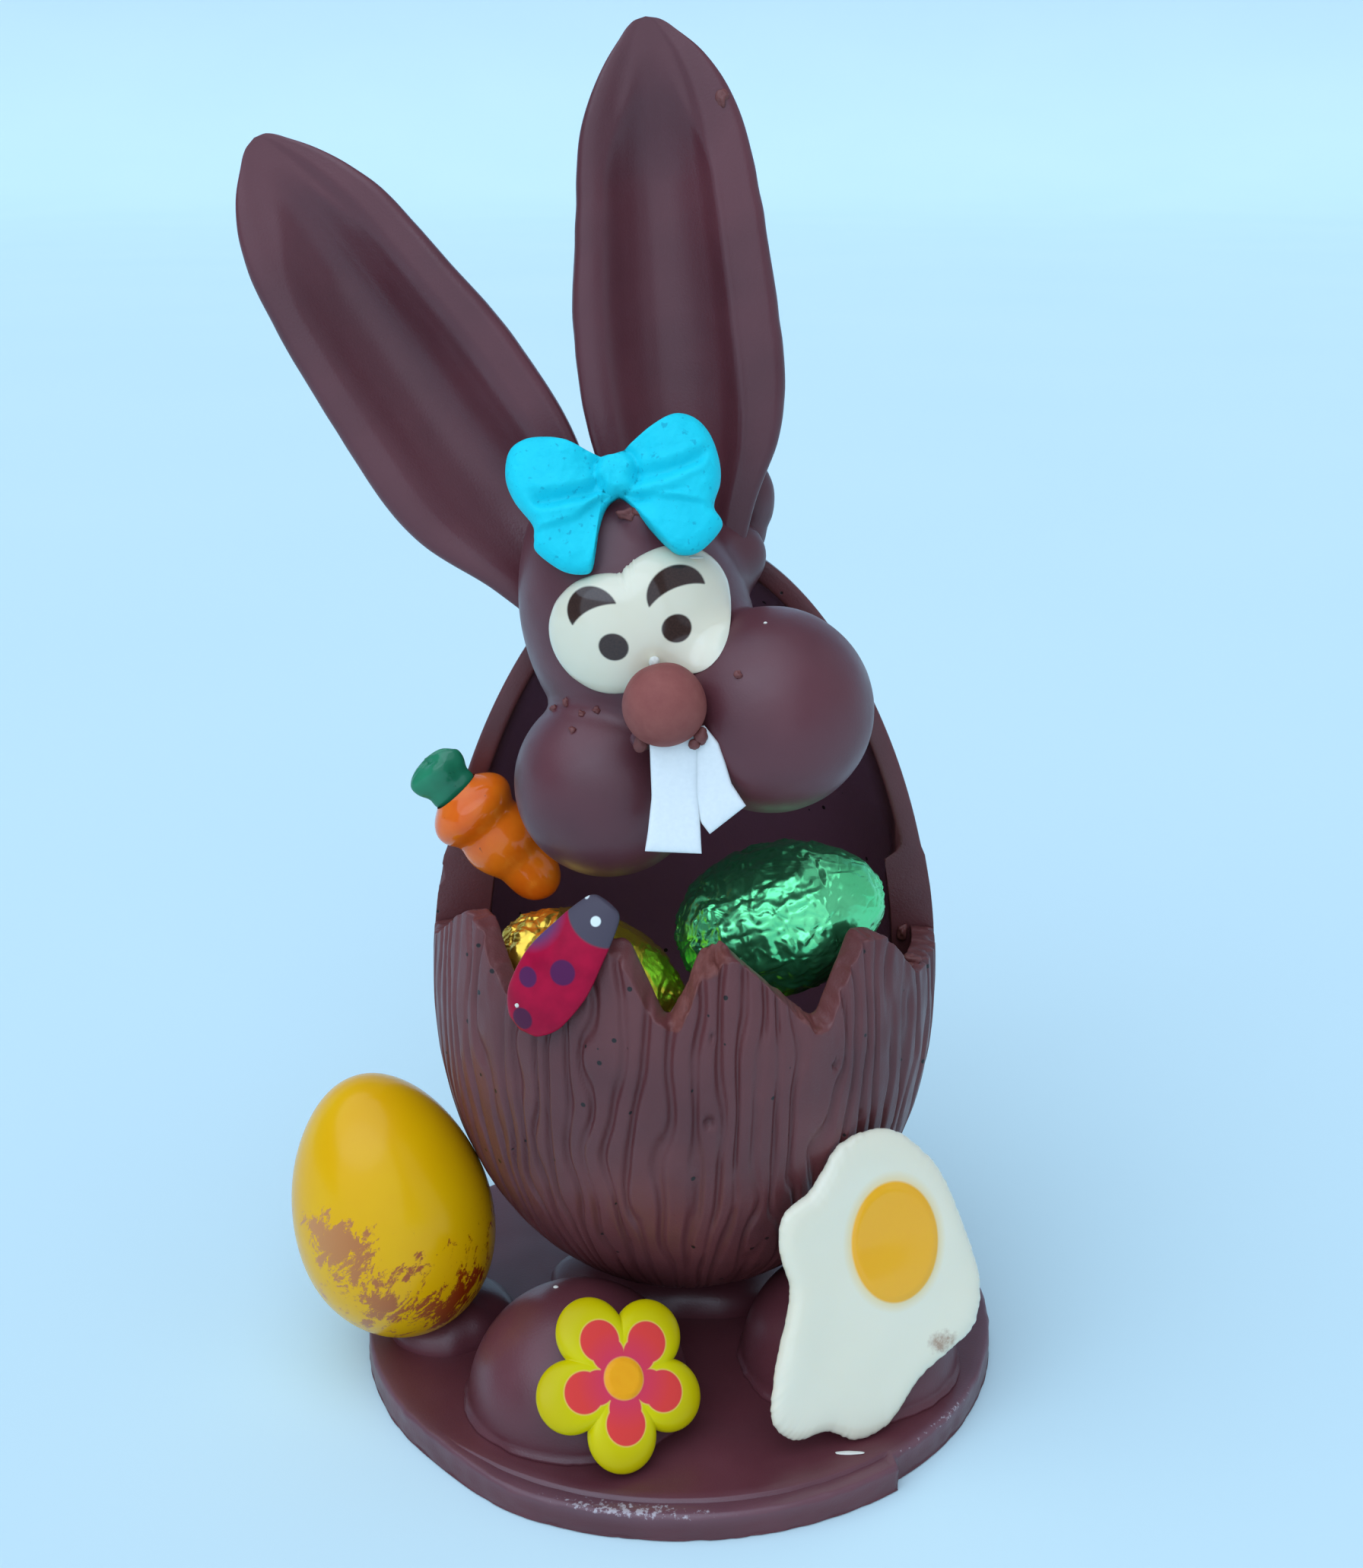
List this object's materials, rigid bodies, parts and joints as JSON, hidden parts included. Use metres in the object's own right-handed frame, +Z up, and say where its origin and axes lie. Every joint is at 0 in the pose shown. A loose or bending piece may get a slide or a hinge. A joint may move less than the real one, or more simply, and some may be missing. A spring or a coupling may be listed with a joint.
{
  "type": "chocolate bunny",
  "caption": "Chocolate bunny with long ears and a cartoon face on a broken egg shell of chocolate that holds foil-wrapped eggs, on a round plate with moulded decorations.",
  "frame": {"origin": "centre of the round plate's underside", "axes": "+Z up through the egg shell and the ears, +X to the viewer's right, +Y to the back"},
  "size_m": [0.1328, 0.1219, 0.2394],
  "materials": {
    "milk_chocolate": "tempered milk chocolate, satin, cast in moulds",
    "nose_chocolate": "milk chocolate ball, matte, slightly reddish",
    "white_chocolate": "white chocolate, glossy, printed",
    "white_fondant": "white sugar paste, matt",
    "blue_fondant": "turquoise sugar paste, matt",
    "carrot_glaze": "orange coloured chocolate, glossy, with a green top",
    "ladybird_print": "crimson chocolate leaf with printed spots",
    "gold_foil": "crinkled gold aluminium foil",
    "green_foil": "crinkled green aluminium foil",
    "yellow_shell": "glossy yellow cocoa butter colour with copper patches",
    "flower_print": "white chocolate flower with printed colours, glossy"
  },
  "bodies": {
    "root": {"plate": "milk_chocolate", "shell_foot": "milk_chocolate", "shell_front": "milk_chocolate", "shell_back": "milk_chocolate", "head": "milk_chocolate", "cheek_right": "milk_chocolate", "cheek_left": "milk_chocolate", "ear_right": "milk_chocolate", "ear_left": "milk_chocolate", "ear_glue": "milk_chocolate", "neck_glue": "milk_chocolate", "egg_puddle": "milk_chocolate", "half_egg_front": "milk_chocolate", "half_egg_right": "milk_chocolate", "nose": "nose_chocolate", "eyes": "white_chocolate", "fried_egg": "white_chocolate", "teeth": "white_fondant", "bow": "blue_fondant", "carrot": "carrot_glaze", "ladybird": "ladybird_print", "gold_egg": "gold_foil", "lower_eggs": "gold_foil", "green_egg": "green_foil", "yellow_egg": "yellow_shell", "flower": "flower_print"}
  },
  "joints": []
}
